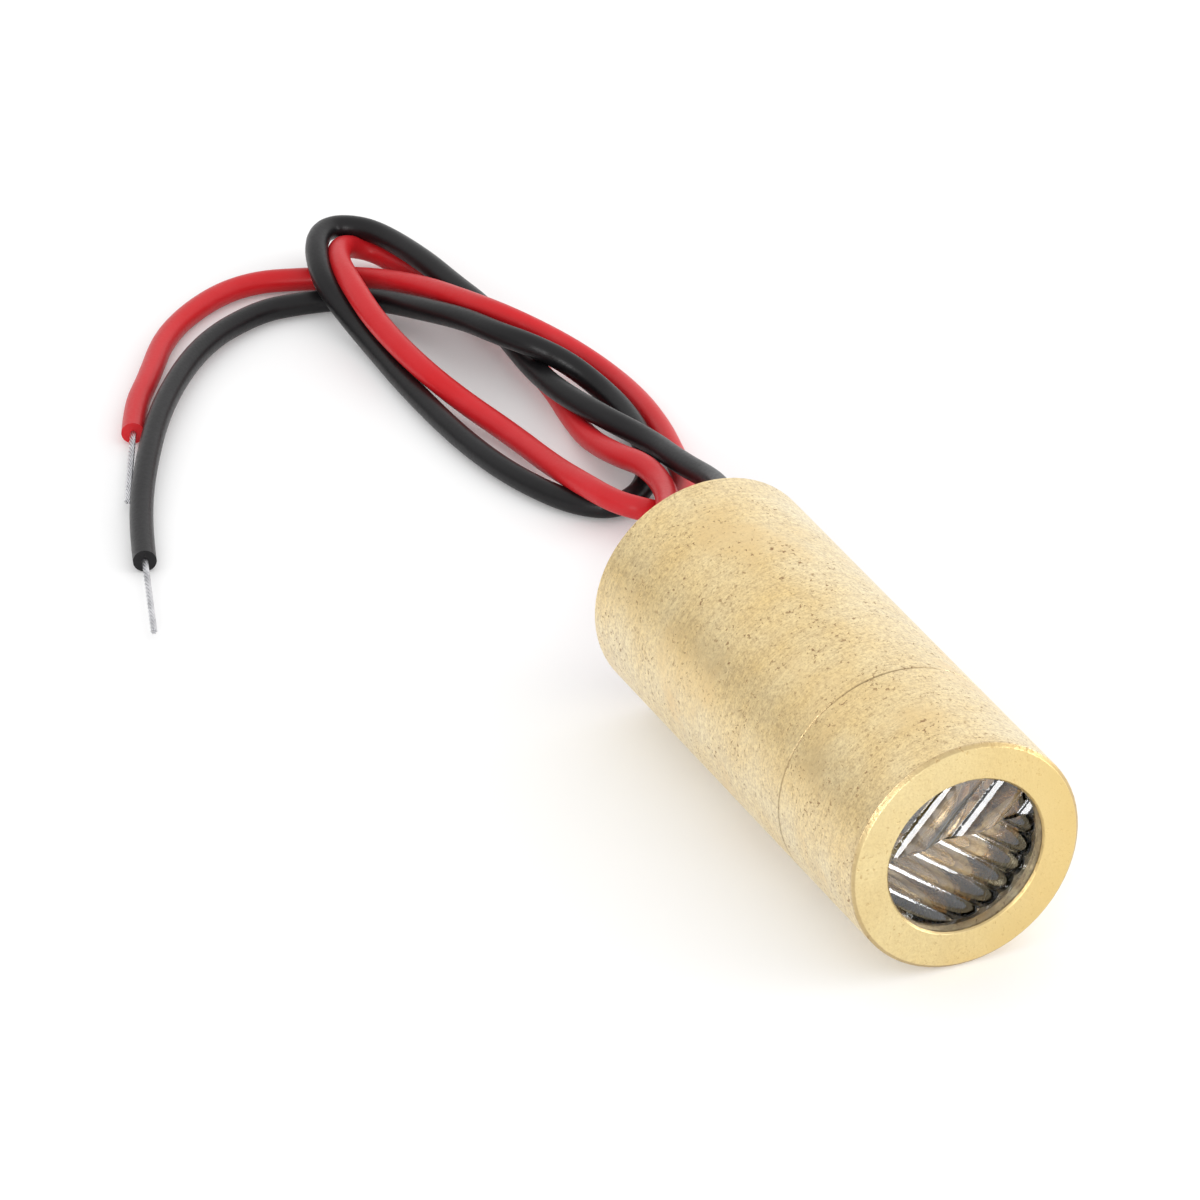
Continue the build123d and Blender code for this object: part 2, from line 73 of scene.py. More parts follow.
black_route = [
    (-19.8, 0.9, -0.1), (-22.4, 0.9, -0.1), (-24.6, 1.6, -0.1), (-26.6, 3.2, -0.5),
    (-28.9, 4.7, -1.3), (-31.05, 5.25, -2.0), (-33.55, 5.25, -2.6), (-36.5, 5.3, -3.1),
    (-38.8, 4.35, -2.95), (-41.1, 3.8, -3.0), (-43.3, 3.8, -3.2), (-45.3, 3.9, -3.2),
    (-48.4, 4.1, -3.1), (-50.7, 3.8, -3.1), (-52.6, 3.55, -3.0), (-54.8, 3.1, -3.0),
    (-56.0, 2.5, -2.9), (-56.7, 1.5, -2.9), (-56.2, 0.6, -2.8), (-54.9, -0.15, -2.8),
    (-52.95, -0.7, -3.0), (-51.6, -0.55, -3.5), (-49.6, -0.4, -3.9), (-45.5, -0.5, -4.0),
    (-41.4, -0.4, -4.0), (-38.4, 0.0, -4.0), (-36.1, 0.7, -4.0), (-34.6, 1.5, -4.0),
    (-33.8, 2.6, -4.0), (-34.4, 4.0, -4.0), (-36.1, 5.2, -4.0), (-38.0, 5.7, -3.8),
    (-39.95, 5.9, -3.7), (-41.6, 5.7, -3.5), (-42.75, 4.9, -2.8), (-43.45, 3.7, -2.1),
    (-44.9, 2.9, -2.1), (-46.9, 2.5, -2.4), (-49.6, 1.8, -3.1), (-51.8, 1.2, -3.7),
    (-53.0, 0.2, -4.0), (-53.4, -1.5, -4.0), (-53.5, -3.3, -4.0), (-51.85, -6.4, -3.85),
    (-47.95, -9.8, -3.7), (-43.65, -12.4, -3.8), (-40.4, -14.0, -4.0), (-37.8, -14.95, -4.0),
]
red_route = [
    (-19.8, -0.9, -0.1), (-22.4, -0.9, -0.1), (-25.0, -0.3, -0.6), (-27.8, 1.5, -1.5),
    (-30.4, 3.2, -2.4), (-32.8, 4.15, -2.9), (-34.5, 4.2, -2.9), (-36.1, 3.8, -3.2),
    (-38.6, 3.8, -3.8), (-40.8, 4.1, -4.0), (-42.7, 4.4, -4.0), (-45.8, 4.6, -4.0),
    (-49.0, 4.6, -4.0), (-50.9, 4.3, -4.0), (-53.3, 3.8, -4.0), (-54.8, 3.2, -4.0),
    (-55.7, 2.7, -3.8), (-55.9, 1.85, -3.5), (-55.35, 1.05, -3.1), (-54.0, 0.4, -2.9),
    (-51.85, 0.0, -2.75), (-49.05, -0.3, -2.9), (-45.75, -0.15, -3.1), (-43.3, 0.55, -3.6),
    (-40.4, 1.4, -3.9), (-37.05, 1.55, -3.6), (-34.6, 1.6, -3.1), (-32.7, 2.0, -3.0),
    (-31.8, 2.8, -3.1), (-32.1, 3.9, -3.7), (-33.4, 5.3, -4.0), (-34.95, 6.0, -4.0),
    (-36.65, 6.4, -4.0), (-38.6, 6.8, -4.0), (-41.0, 7.0, -4.0), (-43.4, 6.8, -4.0),
    (-44.7, 5.9, -3.4), (-45.1, 4.5, -2.4), (-46.3, 3.6, -2.1), (-48.2, 3.1, -2.4),
    (-51.2, 2.6, -3.1), (-54.2, 1.6, -4.0), (-55.1, -0.5, -4.0), (-55.75, -2.5, -4.0),
    (-55.2, -4.65, -4.0), (-53.35, -7.25, -4.0), (-50.4, -9.25, -4.0), (-48.8, -10.5, -4.0),
    (-46.85, -11.45, -4.0),
]


# Shader helpers


def new_material(name):
    """An empty material with an output node."""
    material = bpy.data.materials.new(name)
    material.use_nodes = True
    tree = material.node_tree
    tree.nodes.clear()
    output = tree.nodes.new("ShaderNodeOutputMaterial")
    return material, tree, output


def node(tree, kind, **values):
    """A shader node with its properties and its unlinked inputs set by name."""
    made = tree.nodes.new(kind)
    for name, value in values.items():
        if hasattr(made, name):
            setattr(made, name, value)
        else:
            made.inputs[name.replace("_", " ")].default_value = value
    return made


def math_node(tree, operation, first, second=None):
    """One Math node whose inputs are numbers or sockets."""
    made = tree.nodes.new("ShaderNodeMath")
    made.operation = operation
    for slot_number, value in enumerate((first, second)):
        if value is None:
            continue
        if isinstance(value, (int, float)):
            made.inputs[slot_number].default_value = value
        else:
            tree.links.new(value, made.inputs[slot_number])
    return made.outputs[0]


def times(tree, first, second):
    """The product of two numbers or sockets."""
    return math_node(tree, "MULTIPLY", first, second)


def plus(tree, first, second):
    """The sum of two numbers or sockets."""
    return math_node(tree, "ADD", first, second)


def map_range(tree, value, from_low, from_high, to_low=0.0, to_high=1.0):
    """A value moved from one range to another and held inside the new one."""
    made = tree.nodes.new("ShaderNodeMapRange")
    for socket, number in zip(list(made.inputs)[1:5], (from_low, from_high, to_low, to_high)):
        socket.default_value = number
    tree.links.new(value, made.inputs[0])
    return made.outputs[0]


def mix_colour(tree, factor, first, second):
    """A colour mix whose inputs are colours or sockets."""
    made = tree.nodes.new("ShaderNodeMix")
    made.data_type = "RGBA"
    made.clamp_factor = True
    for name, value in (("Factor", factor), ("A", first), ("B", second)):
        socket = next(s for s in made.inputs if s.name == name and s.enabled)
        if isinstance(value, tuple):
            socket.default_value = (*value, 1)
        else:
            tree.links.new(value, socket)
    return next(s for s in made.outputs if s.enabled)


def noise(tree, vector, scale, detail=3.0, roughness=0.55, distortion=0.0):
    """The plain value of a noise texture at a scale in turns per metre."""
    made = node(
        tree, "ShaderNodeTexNoise", Scale=scale, Detail=detail, Roughness=roughness,
        Distortion=distortion,
    )
    tree.links.new(vector, made.inputs["Vector"])
    return made.outputs["Fac"]


def object_point(tree):
    """The point in the piece's own space, which is the shared frame, in metres."""
    return tree.nodes.new("ShaderNodeTexCoord").outputs["Object"]


def object_axes(tree, point):
    """The X, Y and Z of a point, each as a socket."""
    split = tree.nodes.new("ShaderNodeSeparateXYZ")
    tree.links.new(point, split.inputs[0])
    return split.outputs["X"], split.outputs["Y"], split.outputs["Z"]


def new_group(name, inputs, outputs):
    """A shader node group with named sockets."""
    tree = bpy.data.node_groups.new(name, "ShaderNodeTree")
    for label, kind in inputs:
        tree.interface.new_socket(label, in_out="INPUT", socket_type=kind)
    for label, kind in outputs:
        tree.interface.new_socket(label, in_out="OUTPUT", socket_type=kind)
    return tree, tree.nodes.new("NodeGroupInput"), tree.nodes.new("NodeGroupOutput")


def place_group(tree, group, **values):
    """A group node with its inputs set to numbers, colours or sockets by name."""
    made = tree.nodes.new("ShaderNodeGroup")
    made.node_tree = group
    for name, value in values.items():
        socket = made.inputs[name.replace("_", " ")]
        if isinstance(value, (int, float)):
            socket.default_value = value
        elif isinstance(value, tuple):
            socket.default_value = (*value, 1)
        else:
            tree.links.new(value, socket)
    return made


VALUE, COLOUR = "NodeSocketFloat", "NodeSocketColor"


def make_tarnish_group():
    """Brass skin: soft smooth patches, a stipple of pits and grains, and marks round the axis."""
    tree, given, put = new_group(
        "brass_tarnish",
        [("Base", COLOUR), ("Pale", COLOUR), ("Stain", COLOUR), ("Pit", COLOUR),
         ("Stain Amount", VALUE), ("Pit Amount", VALUE)],
        [("Colour", COLOUR), ("Roughness", VALUE), ("Height", VALUE)],
    )
    stain_amount, pit_amount = given.outputs["Stain Amount"], given.outputs["Pit Amount"]
    point = object_point(tree)
    patches = map_range(tree, noise(tree, point, 520, 3, 0.5, 0.2), 0.3, 0.7, 0.15, 0.85)
    stains = map_range(tree, noise(tree, point, 330, 3, 0.5, 0.2), 0.52, 0.68)
    grain = noise(tree, point, 5200, 3, 0.7)
    fine = noise(tree, point, 11000, 2, 0.6)
    pits = map_range(tree, noise(tree, point, 6200, 2, 0.6, 0.5), 0.6, 0.68)
    crowd = map_range(tree, noise(tree, point, 800, 3, 0.6), 0.36, 0.6, 0.15, 1.0)

    # Marks of the lathe: noise drawn out across the axis
    stretched = tree.nodes.new("ShaderNodeMapping")
    stretched.inputs["Scale"].default_value = (1.0, 0.05, 0.05)
    tree.links.new(point, stretched.inputs["Vector"])
    turning = noise(tree, stretched.outputs["Vector"], 9000, 3, 0.6)

    # Two tones of brass, then the smooth stains, a faint speckle and the pits
    rough_zone = math_node(tree, "SUBTRACT", 1.0, stains)
    colour = mix_colour(tree, patches, given.outputs["Base"], given.outputs["Pale"])
    colour = mix_colour(tree, times(tree, stains, stain_amount), colour, given.outputs["Stain"])
    speckle = plus(tree, map_range(tree, grain, 0.58, 0.36), map_range(tree, fine, 0.6, 0.35))
    speckle = plus(tree, speckle, map_range(tree, turning, 0.6, 0.35, 0.0, 0.6))
    speckle = times(tree, speckle, map_range(tree, rough_zone, 0, 1, 0.4, 1.0))
    speckle = times(tree, speckle, times(tree, pit_amount, 0.27))
    colour = mix_colour(tree, speckle, colour, given.outputs["Pit"])
    pit = times(tree, times(tree, pits, crowd), pit_amount)
    colour = mix_colour(tree, pit, colour, given.outputs["Pit"])
    tree.links.new(colour, put.inputs["Colour"])

    rough = plus(tree, map_range(tree, rough_zone, 0, 1, 0.34, 0.42), times(tree, pit, 0.2))
    rough = plus(tree, rough, map_range(tree, grain, 0.3, 0.7, -0.06, 0.06))
    tree.links.new(rough, put.inputs["Roughness"])

    relief = times(tree, grain, map_range(tree, rough_zone, 0, 1, 0.25, 1.0))
    relief = plus(tree, relief, times(tree, fine, 0.3))
    relief = plus(tree, relief, times(tree, turning, 0.35))
    relief = math_node(tree, "SUBTRACT", relief, times(tree, pit, 0.6))
    tree.links.new(relief, put.inputs["Height"])
    return tree


tarnish_group = make_tarnish_group()


def surface(tree, output, **values):
    """A Principled shader with its constants set on its own sockets, linked to the output."""
    shader = tree.nodes.new("ShaderNodeBsdfPrincipled")
    for name, value in values.items():
        socket = shader.inputs[name.replace("_", " ")]
        if isinstance(value, tuple):
            socket.default_value = (*value, 1)
        else:
            socket.default_value = value
    tree.links.new(shader.outputs["BSDF"], output.inputs["Surface"])
    return shader


def bump(tree, shader, height, distance, strength=1.0):
    """Tilts the shader's normal by a height from 0 to 1 that stands for a distance in metres."""
    made = node(tree, "ShaderNodeBump", Strength=strength, Distance=distance)
    tree.links.new(height, made.inputs["Height"])
    tree.links.new(made.outputs["Normal"], shader.inputs["Normal"])


def make_brass():
    """Turned brass of the housing: stippled all round, with painted light that makes it lighter low
    down and toward plus Y. The front face is yellower and smoother, with painted shade toward plus
    Y and over its bevel. Painted shade darkens the seam behind the cap."""
    material, tree, output = new_material("turned_brass")
    shader = surface(tree, output, Metallic=1.0)
    along, across, upward = object_axes(tree, object_point(tree))

    # Painted light: the brass is made lighter low down and toward plus Y, where it shows the bright
    # table and tent
    painted_light_low = map_range(tree, upward, 1.9 * MM, -0.6 * MM, 0.0, 0.8)
    painted_light_far_side = map_range(tree, across, -0.8 * MM, 2.6 * MM, 0.0, 0.8)
    painted_paleness = plus(tree, painted_light_low, painted_light_far_side)
    tarnish = place_group(
        tree, tarnish_group,
        Base=mix_colour(tree, painted_paleness, (0.94, 0.71, 0.33), (0.98, 0.86, 0.57)),
        Pale=mix_colour(tree, painted_paleness, (0.99, 0.83, 0.49), (0.99, 0.92, 0.70)),
        Stain=(0.83, 0.61, 0.30), Pit=(0.36, 0.22, 0.11), Stain_Amount=0.7, Pit_Amount=0.88,
    )
    clean = place_group(
        tree, tarnish_group, Base=(0.81, 0.65, 0.33), Pale=(0.85, 0.71, 0.39),
        Stain=(0.76, 0.58, 0.26), Pit=(0.42, 0.26, 0.11), Stain_Amount=0.4, Pit_Amount=0.45,
    )
    # Painted shade: the front face is made darker and deeper gold toward plus Y
    front_painted_shade = map_range(tree, across, -1.0 * MM, 4.0 * MM, 0.0, 0.75)
    front = mix_colour(tree, front_painted_shade, clean.outputs["Colour"], (0.75, 0.55, 0.22))
    face = map_range(tree, along, face_from, face_to)
    colour = mix_colour(tree, face, tarnish.outputs["Colour"], front)

    # Painted shade in the groove of the seam between the cap and the barrel
    seam_distance = math_node(tree, "ABSOLUTE", math_node(tree, "SUBTRACT", along, cap_back))
    seam = map_range(tree, seam_distance, seam_core, seam_reach, 0.75, 0.0)
    colour = mix_colour(tree, seam, colour, (0.2, 0.13, 0.07))
    # Painted shade: a darker band over the bevel round the front face
    bevel_distance = math_node(tree, "ABSOLUTE", plus(tree, along, bevel_depth))
    bevel = map_range(tree, bevel_distance, bevel_core, bevel_reach, 0.45, 0.0)
    colour = mix_colour(tree, bevel, colour, (0.3, 0.19, 0.09))
    tree.links.new(colour, shader.inputs["Base Color"])
    tree.links.new(tarnish.outputs["Roughness"], shader.inputs["Roughness"])

    relief = node(tree, "ShaderNodeMix", data_type="FLOAT")
    tree.links.new(face, relief.inputs[0])
    tree.links.new(tarnish.outputs["Height"], relief.inputs[2])
    tree.links.new(clean.outputs["Height"], relief.inputs[3])
    bump(tree, shader, relief.outputs[0], 0.03 * MM, 0.8)
    return material


def make_holder_brass():
    """Clean turned brass of the parts inside, darkened to brown-gold as painted shade, with fine
    rings from the tool that carry a painted highlight.
    """
    material, tree, output = new_material("inner_brass_painted_shade")
    shader = surface(tree, output, Metallic=1.0)
    # Brown-gold colours: painted shade of the bore and inner faces, a darker copy of the housing
    # brass
    tarnish = place_group(
        tree, tarnish_group, Base=(0.50, 0.34, 0.18), Pale=(0.60, 0.43, 0.23),
        Stain=(0.38, 0.25, 0.13), Pit=(0.2, 0.12, 0.06), Stain_Amount=0.3, Pit_Amount=0.2,
    )
    point = object_point(tree)
    _, across, upward = object_axes(tree, point)
    squares = [math_node(tree, "POWER", value, 2.0) for value in (across, upward)]
    from_axis = math_node(tree, "SQRT", plus(tree, *squares))
    rings = math_node(tree, "SINE", times(tree, from_axis, 2 * np.pi / ring_pitch))
    rings = map_range(tree, rings, -1.0, 1.0)
    worn = map_range(tree, noise(tree, point, 1500, 3), 0.35, 0.65, 0.3, 1.0)
    rings = times(tree, rings, worn)
    # Painted highlight: the tool rings are coloured lighter, as if catching the light
    painted_ring_highlight = (0.9, 0.75, 0.45)
    colour = mix_colour(tree, times(tree, rings, 0.35), tarnish.outputs["Colour"], painted_ring_highlight)
    tree.links.new(colour, shader.inputs["Base Color"])
    rough = map_range(tree, tarnish.outputs["Roughness"], 0.3, 0.7, 0.22, 0.4)
    tree.links.new(rough, shader.inputs["Roughness"])
    height = plus(tree, times(tree, rings, 0.8), times(tree, tarnish.outputs["Height"], 0.3))
    bump(tree, shader, height, 0.02 * MM, 0.6)
    return material


def make_pvc(name, colour, dusty, rough):
    """Extruded lead insulation: even colour with a slight drift, fine grain and a soft sheen."""
    material, tree, output = new_material(name)
    shader = surface(tree, output, IOR=1.45, Specular_IOR_Level=0.33)
    point = object_point(tree)
    drift = map_range(tree, noise(tree, point, 240, 3), 0.35, 0.65)
    grain = noise(tree, point, 7000, 3, 0.6)
    dust = times(tree, map_range(tree, noise(tree, point, 900, 4, 0.65), 0.52, 0.75), 0.5)
    tint = mix_colour(tree, times(tree, drift, 0.35), colour, dusty)
    tint = mix_colour(tree, times(tree, dust, 0.35), tint, dusty)
    tree.links.new(tint, shader.inputs["Base Color"])
    sheen = map_range(tree, grain, 0.3, 0.7, rough - 0.05, rough + 0.07)
    tree.links.new(sheen, shader.inputs["Roughness"])
    bump(tree, shader, grain, 0.012 * MM, 0.5)
    return material


def make_fine_metal(name, colour, dull, rough):
    """Bare metal of a small inner part: two tones, streaks and a fine grain."""
    material, tree, output = new_material(name)
    shader = surface(tree, output, Metallic=1.0)
    point = object_point(tree)
    tone = map_range(tree, noise(tree, point, 1800, 4, 0.6), 0.35, 0.65)
    grain = noise(tree, point, 11000, 3, 0.6)
    tree.links.new(mix_colour(tree, tone, colour, dull), shader.inputs["Base Color"])
    sheen = map_range(tree, grain, 0.3, 0.7, rough - 0.08, rough + 0.1)
    tree.links.new(sheen, shader.inputs["Roughness"])
    bump(tree, shader, grain, 0.008 * MM, 0.5)
    return material


def make_moulded(name, colour, worn, rough):
    """Moulded, fired or cast material without metal: slight tone drift, specks and a fine skin."""
    material, tree, output = new_material(name)
    shader = surface(tree, output)
    point = object_point(tree)
    tone = map_range(tree, noise(tree, point, 1200, 4, 0.6), 0.35, 0.7)
    grain = noise(tree, point, 8000, 3, 0.6)
    tree.links.new(mix_colour(tree, tone, colour, worn), shader.inputs["Base Color"])
    sheen = map_range(tree, grain, 0.3, 0.7, rough - 0.08, rough + 0.08)
    tree.links.new(sheen, shader.inputs["Roughness"])
    bump(tree, shader, grain, 0.012 * MM, 0.5)
    return material


def make_clear(name, tint, rough, ior, coat):
    """Clear moulded plastic or glass with a faint smear in its polish."""
    material, tree, output = new_material(name)
    shader = surface(
        tree, output, Base_Color=tint, IOR=ior, Transmission_Weight=1.0, Metallic=0.0,
        Coat_Weight=coat, Coat_IOR=ior, Coat_Roughness=0.02,
    )
    point = object_point(tree)
    smear = map_range(tree, noise(tree, point, 900, 4, 0.6), 0.4, 0.75, rough, rough + 0.03)
    tree.links.new(smear, shader.inputs["Roughness"])
    bump(tree, shader, noise(tree, point, 2400, 3), 0.002 * MM, 0.4)
    return material


materials = {
    "brass": make_brass(),
    "holder_brass": make_holder_brass(),
    "clear_plastic": make_clear("clear_plastic", (0.97, 0.97, 0.96), 0.01, 1.57, 1.0),
    # Tinted almost black: painted shade that stands for the dark cavity behind the collimating lens
    "coated_lens": make_clear("coated_lens", (0.06, 0.05, 0.06), 0.02, 1.5, 0.0),
    "window_glass": make_clear("window_glass", (0.95, 0.98, 0.97), 0.0, 1.5, 0.0),
    "black_plastic": make_moulded(
        "black_moulding", (0.02, 0.02, 0.021), (0.05, 0.05, 0.052), 0.5),
    "spring_steel": make_fine_metal("spring_steel", (0.6, 0.6, 0.6), (0.42, 0.41, 0.4), 0.28),
    "gold_plate": make_fine_metal("gold_plate", (0.92, 0.7, 0.32), (0.8, 0.57, 0.24), 0.25),
    "can_nickel": make_fine_metal("can_nickel", (0.74, 0.72, 0.68), (0.58, 0.56, 0.52), 0.25),
    "bead_glass": make_moulded("bead_glass", (0.1, 0.16, 0.13), (0.2, 0.28, 0.24), 0.15),
    "submount_ceramic": make_moulded(
        "submount_ceramic", (0.82, 0.82, 0.8), (0.7, 0.7, 0.68), 0.5),
    "chip_metal": make_fine_metal("chip_metal", (0.32, 0.32, 0.36), (0.2, 0.2, 0.24), 0.18),
    "board_green": make_moulded("board_green", (0.012, 0.13, 0.045), (0.02, 0.2, 0.07), 0.3),
    "capacitor_ceramic": make_moulded(
        "capacitor_ceramic", (0.5, 0.34, 0.2), (0.62, 0.46, 0.3), 0.5),
    "solder": make_fine_metal("solder", (0.72, 0.72, 0.73), (0.55, 0.55, 0.56), 0.3),
    "seal_resin": make_moulded("seal_resin", (0.014, 0.014, 0.015), (0.03, 0.03, 0.032), 0.28),
    "red_pvc": make_pvc("red_pvc", (0.56, 0.008, 0.012), (0.62, 0.04, 0.05), 0.36),
    "black_pvc": make_pvc("black_pvc", (0.005, 0.0045, 0.005), (0.014, 0.013, 0.015), 0.36),
    "tinned_metal": make_fine_metal("tinned_metal", (0.72, 0.72, 0.74), (0.5, 0.5, 0.52), 0.3),
}


def dress_frame():
    """Gives each CAD node the finish of its material slot."""
    slot_of = {part["node"]: part["material_slot"] for part in frame["record"]["subparts"]}
    for name, piece in nodes.items():
        piece.data.materials.clear()
        piece.data.materials.append(materials[slot_of[name]])


# Leads


def make_lead(name, route, slot_name):
    """The insulation of one lead: a round section along a smooth NURBS line through its route."""
    curve = bpy.data.curves.new(name, "CURVE")
    curve.dimensions = "3D"
    line = curve.splines.new("NURBS")
    line.points.add(len(route) - 1)
    for point, place in zip(line.points, route):
        point.co = (*(MM * value for value in place), 1)
    line.order_u = 3
    line.use_endpoint_u = True
    curve.resolution_u = 12
    curve.bevel_depth = lead_diameter / 2
    curve.bevel_resolution = 8
    curve.use_fill_caps = True
    curve.materials.append(materials[slot_name])
    lead = bpy.data.objects.new(name, curve)
    bpy.context.scene.collection.objects.link(lead)
    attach(lead, "root")
    return lead


def tube_mesh(paths, radius, sides):
    """Capped tubes along paths of equal length: path + radius (cos a side + sin a up), for the
    angle a round each path and the two directions square to it."""
    paths = np.asarray(paths, float)
    count, steps, _ = paths.shape
    tangents = np.gradient(paths, axis=1)
    tangents /= np.linalg.norm(tangents, axis=2, keepdims=True)
    side = np.cross(tangents, (0.0, 0.0, 1.0))
    side /= np.linalg.norm(side, axis=2, keepdims=True)
    up = np.cross(side, tangents)
    angle = np.linspace(0, 2 * np.pi, sides, endpoint=False)[:, None]
    ring = np.cos(angle) * side[:, :, None] + np.sin(angle) * up[:, :, None]
    points = (paths[:, :, None] + radius * ring).reshape(-1, 3)

    tube_size = steps * sides
    first = np.arange(count)[:, None, None] * tube_size
    row = first + np.arange(steps - 1)[None, :, None] * sides
    here = np.arange(sides)[None, None, :]
    after = (here + 1) % sides
    corners = [row + here, row + sides + here, row + sides + after, row + after]
    quads = np.stack(corners, axis=-1).reshape(-1, 4)
    starts = [[tube * tube_size + k for k in range(sides)] for tube in range(count)]
    ends = [[(tube + 1) * tube_size - 1 - k for k in range(sides)] for tube in range(count)]
    return points, [*quads.tolist(), *starts, *ends]


def add_piece(name, points, faces, slot_name):
    """A smooth mesh piece that rides on the module, placed by its own vertices."""
    mesh = bpy.data.meshes.new(name)
    mesh.from_pydata(points.tolist(), [], faces)
    mesh.validate()
    mesh.update()
    mesh.polygons.foreach_set("use_smooth", [True] * len(mesh.polygons))
    mesh.materials.append(materials[slot_name])
    piece = bpy.data.objects.new(name, mesh)
    bpy.context.scene.collection.objects.link(piece)
    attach(piece, "root")
    return piece


def make_tip(name, route, replaced):
    """The bared conductor: a straight strand from the lead's cut end, and others twisted round it
    as centre + 2 strand_radius (cos a side + sin a up), for an angle a that grows along it."""
    last, before = (MM * np.array(route[place]) for place in (-1, -2))
    forward = (last - before) / np.linalg.norm(last - before)
    side = np.cross(forward, (0, 0, 1))
    up = np.cross(side, forward)
    strand_radius = conductor_diameter / (2 * strands_across)
    along = np.linspace(0, 1, strand_steps)
    turn = 2 * np.pi * strand_turns * along
    centre = last + tip_length * along[:, None] * forward
    paths = [centre]
    for strand in range(strand_count):
        angle = (turn + 2 * np.pi * strand / strand_count)[:, None]
        paths.append(centre + 2 * strand_radius * (np.cos(angle) * side + np.sin(angle) * up))
    points, faces = tube_mesh(paths, strand_radius, strand_sides)
    tip = add_piece(name, points, faces, "tinned_metal")
    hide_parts(replaced)
    return tip


# Cross-line lens: its front is worked out as a height over the disc

lens_low, lens_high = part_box("cross_line_lens")
lens_radius = lens_high.y
lens_front, lens_back = lens_high.x, lens_low.x
rim_width, recess_depth = 0.45 * MM, 0.38 * MM
recess_radius = lens_radius - rim_width
rib_root = lens_front - recess_depth

# The line that parts the two fields of ribs, and the turn of each field's ribs from it
split_offset = 0.38 * MM
split_tilt = np.radians(5.0)
rib_turn = np.radians(43.0)

# Pitch, width, height and offset of the ribs of each field, and the very slight crown under them
upper_ribs = (1.75 * MM, 1.4 * MM, 0.35 * MM, 1.4 * MM)
lower_ribs = (0.79 * MM, 0.75 * MM, 0.15 * MM, 0.34 * MM)
crown_radius = 1000 * MM

# The grid of the front, and the angle from which an edge of the disc is shaded as sharp
lens_turns, lens_rings = 480, 150
sharp_from = np.radians(35)


def rib_height(place, pitch, width, height, offset):
    """Height of round ribs across their field: sqrt(bend^2 - s^2) - (bend - height) at a distance s
    from a rib's middle, and flat between ribs. The circle of radius bend gives an arc of the ribs'
    width and height."""
    bend = (width**2 / 4 + height**2) / (2 * height)
    from_middle = (place - offset + pitch / 2) % pitch - pitch / 2
    inside = np.clip(bend**2 - from_middle**2, 0, None)
    return np.clip(np.sqrt(inside) - (bend - height), 0, None)


def lens_height(y, z):
    """Height of the lens front over its root: one field of ribs above the split, another below it,
    less the crown's (y^2 + z^2) / (2 crown_radius)."""
    above = np.cos(split_tilt) * z - np.sin(split_tilt) * y - split_offset
    upper_turn, lower_turn = split_tilt + rib_turn, split_tilt - rib_turn
    upper = rib_height(np.cos(upper_turn) * z - np.sin(upper_turn) * y, *upper_ribs)
    lower = rib_height(np.cos(lower_turn) * z - np.sin(lower_turn) * y, *lower_ribs)
    return np.where(above > 0, upper, lower) - (y**2 + z**2) / (2 * crown_radius)


def make_lens():
    """The clear disc: its front at x = rib_root + lens_height(y, z) on a polar grid, then the
    recess wall, the rim, the side and the back."""
    radius = np.linspace(0, recess_radius, lens_rings + 1)[1:]
    angle = np.linspace(0, 2 * np.pi, lens_turns, endpoint=False)
    y, z = radius[:, None] * np.cos(angle), radius[:, None] * np.sin(angle)
    front = np.stack([rib_root + lens_height(y, z), y, z], axis=-1)

    edge_x = np.array([lens_front, lens_front, lens_back])[:, None]
    edge_radius = np.array([recess_radius, lens_radius, lens_radius])[:, None]
    edge_x = np.repeat(edge_x, lens_turns, axis=1)
    edge = [edge_x, edge_radius * np.cos(angle), edge_radius * np.sin(angle)]
    rings = np.concatenate([front, np.stack(edge, axis=-1)])
    middles = [[rib_root + float(lens_height(0.0, 0.0)), 0, 0], [lens_back, 0, 0]]
    points = np.concatenate([rings.reshape(-1, 3), middles])

    row = np.arange(len(rings) - 1)[:, None] * lens_turns
    here = np.arange(lens_turns)[None]
    after = (here + 1) % lens_turns
    corners = [row + here, row + lens_turns + here, row + lens_turns + after, row + after]
    quads = np.stack(corners, axis=-1).reshape(-1, 4)
    front_middle, back_middle = len(points) - 2, len(points) - 1
    last = (len(rings) - 1) * lens_turns
    fan = [(front_middle, k, (k + 1) % lens_turns) for k in range(lens_turns)]
    back_fan = [(back_middle, last + (k + 1) % lens_turns, last + k) for k in range(lens_turns)]
    faces = [*quads.tolist(), *fan, *back_fan]
    lens = add_piece("cross_line_lens_clear", points, faces, "clear_plastic")
    lens.data.set_sharp_from_angle(angle=sharp_from)
    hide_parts("cross_line_lens")


def make_camera():
    """A long lens that looks down on the front of the module from its right."""
    data = bpy.data.cameras.new("camera")
    data.lens = 360.0
    data.sensor_width = 36.0
    data.clip_start = 0.01
    data.clip_end = 10.0
    camera = bpy.data.objects.new("camera", data)
    bpy.context.scene.collection.objects.link(camera)
    place = Vector((0.318402, -0.167391, 0.220683))
    right = Vector((0.4334, 0.9013, 0.0))
    up = Vector((-0.4551, 0.2187, 0.8632))
    back = Vector((0.7779, -0.3742, 0.5049))
    turned = Matrix((right, up, back)).transposed().to_4x4()
    camera.matrix_world = Matrix.Translation(place) @ turned
    bpy.context.scene.camera = camera


